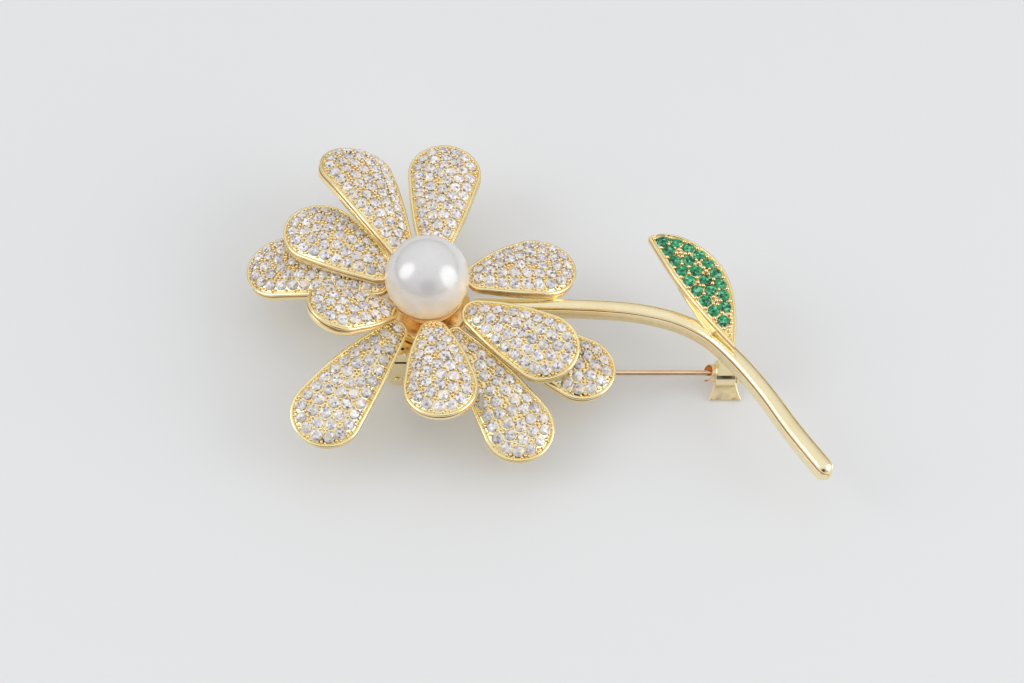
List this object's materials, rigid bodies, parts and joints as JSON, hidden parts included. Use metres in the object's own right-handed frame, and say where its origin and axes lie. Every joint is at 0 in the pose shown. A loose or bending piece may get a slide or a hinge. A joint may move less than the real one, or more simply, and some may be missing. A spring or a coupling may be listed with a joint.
{
  "type": "flower brooch",
  "caption": "Flower brooch with two tiers of stone-set petals round a pearl, a curved stem with a green stone-set leaf, and a hinged pin with a rotating safety catch.",
  "frame": {"origin": "middle of the bounding box's footprint, on the surface that the brooch lies on", "axes": "+X along the pin from its hinge to its catch, towards the stem's tail; +Z out of the flower's front, up when the brooch lies on its back"},
  "size_m": [0.069, 0.047, 0.0186],
  "materials": {
    "gold": "pale yellow gold plate, polished",
    "copper_gold": "rose gold plate, polished",
    "clear_stones": "round brilliant clear stones set close in gold beads",
    "green_stones": "round faceted green stones set close in gold beads",
    "nacre": "white pearl lustre"
  },
  "bodies": {
    "brooch": {"lower_petal_1": "gold", "lower_petal_1_stones": "clear_stones", "lower_petal_2": "gold", "lower_petal_2_stones": "clear_stones", "lower_petal_3": "gold", "lower_petal_3_stones": "clear_stones", "lower_petal_4": "gold", "lower_petal_4_stones": "clear_stones", "lower_petal_5": "gold", "lower_petal_5_stones": "clear_stones", "lower_petal_6": "gold", "lower_petal_6_stones": "clear_stones", "upper_petal_1": "gold", "upper_petal_1_stones": "clear_stones", "upper_petal_2": "gold", "upper_petal_2_stones": "clear_stones", "upper_petal_3": "gold", "upper_petal_3_stones": "clear_stones", "upper_petal_4": "gold", "upper_petal_4_stones": "clear_stones", "upper_petal_5": "gold", "upper_petal_5_stones": "clear_stones", "leaf": "gold", "leaf_stones": "green_stones", "leaf_stalk": "gold", "stem": "gold", "hub": "gold", "pearl_cup": "gold", "pearl": "nacre", "hinge_bracket": "gold", "hinge_rivet": "gold", "catch_ring": "gold"},
    "pin": {"pin_needle": "copper_gold"},
    "sleeve": {"catch_sleeve": "gold"}
  },
  "joints": [
    {"name": "pin_swing", "type": "hinge", "parent": "brooch", "child": "pin", "pos_m": [-0.01592, -0.00562, 0.0025], "axis": [0, 1, 0], "range_deg": [0, 75]},
    {"name": "catch_roll", "type": "hinge", "parent": "brooch", "child": "sleeve", "pos_m": [0.02318, -0.00562, 0.0025], "axis": [1, 0, 0], "range_deg": [0, 90]}
  ]
}
